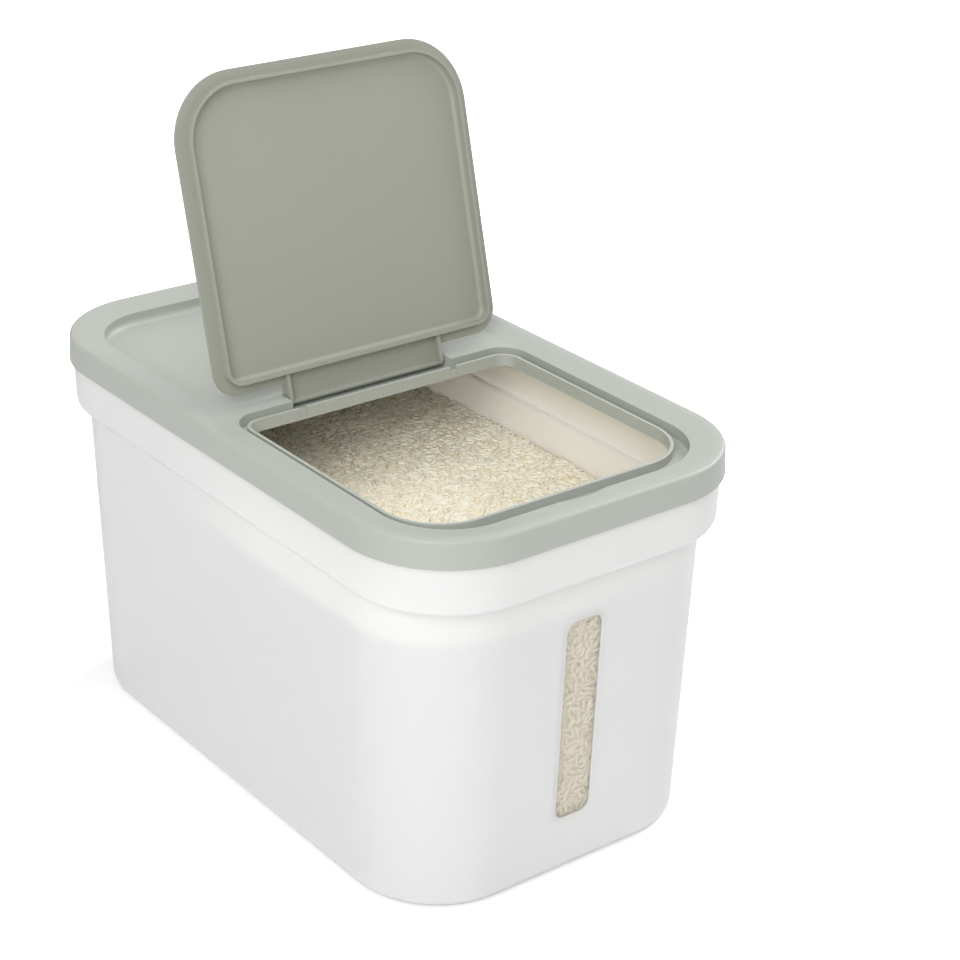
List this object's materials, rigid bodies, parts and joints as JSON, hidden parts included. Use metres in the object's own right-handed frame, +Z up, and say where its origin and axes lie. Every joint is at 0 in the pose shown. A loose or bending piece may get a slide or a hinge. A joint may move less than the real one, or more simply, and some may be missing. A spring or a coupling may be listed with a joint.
{
  "type": "rice bin with flip lid",
  "caption": "Deep rounded kitchen bin for dry rice, with a level window in one end, a lift-off cover and a hinged flip lid over the mouth.",
  "frame": {"origin": "on the floor under the middle of the bin", "axes": "+Z up, +X across the bin, -Y towards the end with the level window and the mouth, +Y towards the plain end"},
  "size_m": [0.22, 0.3676, 0.3781],
  "materials": {
    "tub_white": "satin opaque white polypropylene",
    "pane_clear": "translucent",
    "sage": "satin sage-green polypropylene"
  },
  "bodies": {
    "tub": {"bin_body": "tub_white", "window_pane": "pane_clear"},
    "cover": {"cover": "sage"},
    "flip_lid": {"flip_lid": "sage"}
  },
  "joints": [
    {"name": "cover_lift", "type": "slide", "parent": "tub", "child": "cover", "axis": [0, 0, 1], "range_m": [0, 0.06]},
    {"name": "flip_lid_hinge", "type": "hinge", "parent": "cover", "child": "flip_lid", "pos_m": [0, 0.0154, 0.2108], "axis": [1, 0, 0], "range_deg": [0, 105]}
  ]
}
